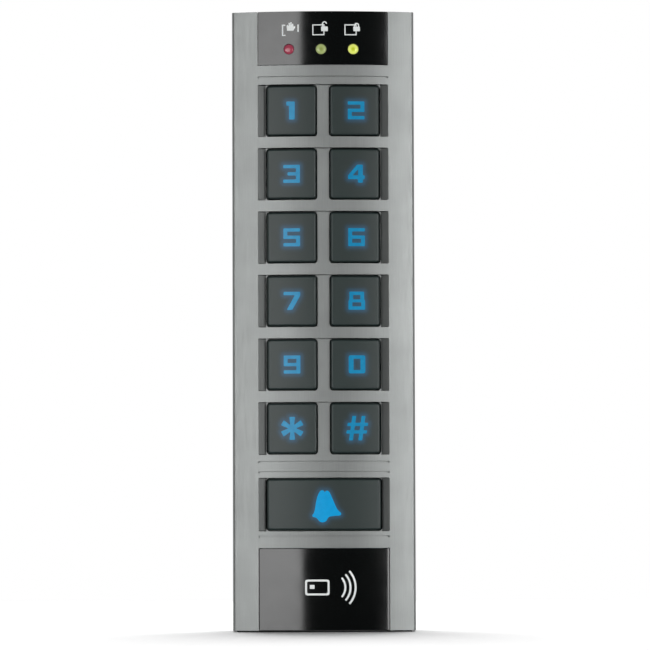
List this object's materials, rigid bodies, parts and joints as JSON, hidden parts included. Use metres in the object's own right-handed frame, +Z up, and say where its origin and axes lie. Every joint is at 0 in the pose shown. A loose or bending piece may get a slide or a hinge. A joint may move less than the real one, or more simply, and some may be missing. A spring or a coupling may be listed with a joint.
{
  "type": "keypad access reader",
  "caption": "Narrow wall-mounted keypad access reader: bowed silver cover, two glossy black windows, sprung backlit keys in sunken rows, reader coil behind the lower window.",
  "frame": {"origin": "centre of the rear base's wall face, halfway up the case", "axes": "+Z up the case towards the indicator window, +Y out of the back into the wall, the keys face -Y"},
  "size_m": [0.047, 0.024, 0.158],
  "materials": {
    "black_case": "moulded black, fine spark texture",
    "black_rubber": "moulded black rubber",
    "silver_cover": "silver metallic coat with fine vertical brushing over a moulded shell",
    "black_window": "polished black, indicator marks printed in white",
    "red_light": "clear red light pipe",
    "green_light": "pale green light pipe",
    "yellow_light": "yellow light pipe",
    "slate_key": "dark slate key cap, satin, blue backlit figure",
    "keypad_silicone": "translucent white silicone",
    "blue_light": "blue lamp",
    "board_laminate": "green solder resist on glass laminate",
    "screw_steel": "zinc-plated steel",
    "black_package": "moulded package",
    "can_aluminium": "drawn can",
    "terminal_green": "moulded green nylon",
    "natural_nylon": "natural nylon",
    "coil_copper": "enamelled copper winding"
  },
  "bodies": {
    "case": {"rear_base": "black_case", "case_seal": "black_rubber", "cable_grommet": "black_rubber", "front_cover": "silver_cover", "indicator_window": "black_window", "reader_window": "black_window", "light_pipe_red": "red_light", "status_led_red": "red_light", "light_pipe_green": "green_light", "status_led_green": "green_light", "light_pipe_yellow": "yellow_light", "status_led_yellow": "yellow_light", "keypad_mat": "keypad_silicone", "backlight_led_1": "blue_light", "backlight_led_2": "blue_light", "backlight_led_3": "blue_light", "backlight_led_4": "blue_light", "backlight_led_5": "blue_light", "backlight_led_6": "blue_light", "backlight_led_7": "blue_light", "main_board": "board_laminate", "board_screw_1": "screw_steel", "board_screw_2": "screw_steel", "board_screw_3": "screw_steel", "board_screw_4": "screw_steel", "cover_screw": "screw_steel", "microcontroller": "black_package", "reader_chip": "black_package", "voltage_regulator": "black_package", "buzzer": "black_package", "tamper_switch": "black_package", "supply_capacitor": "can_aluminium", "terminal_block": "terminal_green", "coil_former": "natural_nylon", "antenna_coil": "coil_copper"},
    "key_1": {"key_1": "slate_key"},
    "key_2": {"key_2": "slate_key"},
    "key_3": {"key_3": "slate_key"},
    "key_4": {"key_4": "slate_key"},
    "key_5": {"key_5": "slate_key"},
    "key_6": {"key_6": "slate_key"},
    "key_7": {"key_7": "slate_key"},
    "key_8": {"key_8": "slate_key"},
    "key_9": {"key_9": "slate_key"},
    "key_0": {"key_0": "slate_key"},
    "key_star": {"key_star": "slate_key"},
    "key_hash": {"key_hash": "slate_key"},
    "key_bell": {"key_bell": "slate_key"},
    "tamper_plunger": {"tamper_plunger": "natural_nylon"}
  },
  "joints": [
    {"name": "key_1_press", "type": "slide", "parent": "case", "child": "key_1", "axis": [0, 1, 0], "range_m": [0, 0.001], "stiffness_N_per_m": 1500},
    {"name": "key_2_press", "type": "slide", "parent": "case", "child": "key_2", "axis": [0, 1, 0], "range_m": [0, 0.001], "stiffness_N_per_m": 1500},
    {"name": "key_3_press", "type": "slide", "parent": "case", "child": "key_3", "axis": [0, 1, 0], "range_m": [0, 0.001], "stiffness_N_per_m": 1500},
    {"name": "key_4_press", "type": "slide", "parent": "case", "child": "key_4", "axis": [0, 1, 0], "range_m": [0, 0.001], "stiffness_N_per_m": 1500},
    {"name": "key_5_press", "type": "slide", "parent": "case", "child": "key_5", "axis": [0, 1, 0], "range_m": [0, 0.001], "stiffness_N_per_m": 1500},
    {"name": "key_6_press", "type": "slide", "parent": "case", "child": "key_6", "axis": [0, 1, 0], "range_m": [0, 0.001], "stiffness_N_per_m": 1500},
    {"name": "key_7_press", "type": "slide", "parent": "case", "child": "key_7", "axis": [0, 1, 0], "range_m": [0, 0.001], "stiffness_N_per_m": 1500},
    {"name": "key_8_press", "type": "slide", "parent": "case", "child": "key_8", "axis": [0, 1, 0], "range_m": [0, 0.001], "stiffness_N_per_m": 1500},
    {"name": "key_9_press", "type": "slide", "parent": "case", "child": "key_9", "axis": [0, 1, 0], "range_m": [0, 0.001], "stiffness_N_per_m": 1500},
    {"name": "key_0_press", "type": "slide", "parent": "case", "child": "key_0", "axis": [0, 1, 0], "range_m": [0, 0.001], "stiffness_N_per_m": 1500},
    {"name": "key_star_press", "type": "slide", "parent": "case", "child": "key_star", "axis": [0, 1, 0], "range_m": [0, 0.001], "stiffness_N_per_m": 1500},
    {"name": "key_hash_press", "type": "slide", "parent": "case", "child": "key_hash", "axis": [0, 1, 0], "range_m": [0, 0.001], "stiffness_N_per_m": 1500},
    {"name": "key_bell_press", "type": "slide", "parent": "case", "child": "key_bell", "axis": [0, 1, 0], "range_m": [0, 0.001], "stiffness_N_per_m": 2000},
    {"name": "tamper_plunger_press", "type": "slide", "parent": "case", "child": "tamper_plunger", "axis": [0, -1, 0], "range_m": [0, 0.0008], "stiffness_N_per_m": 800}
  ]
}
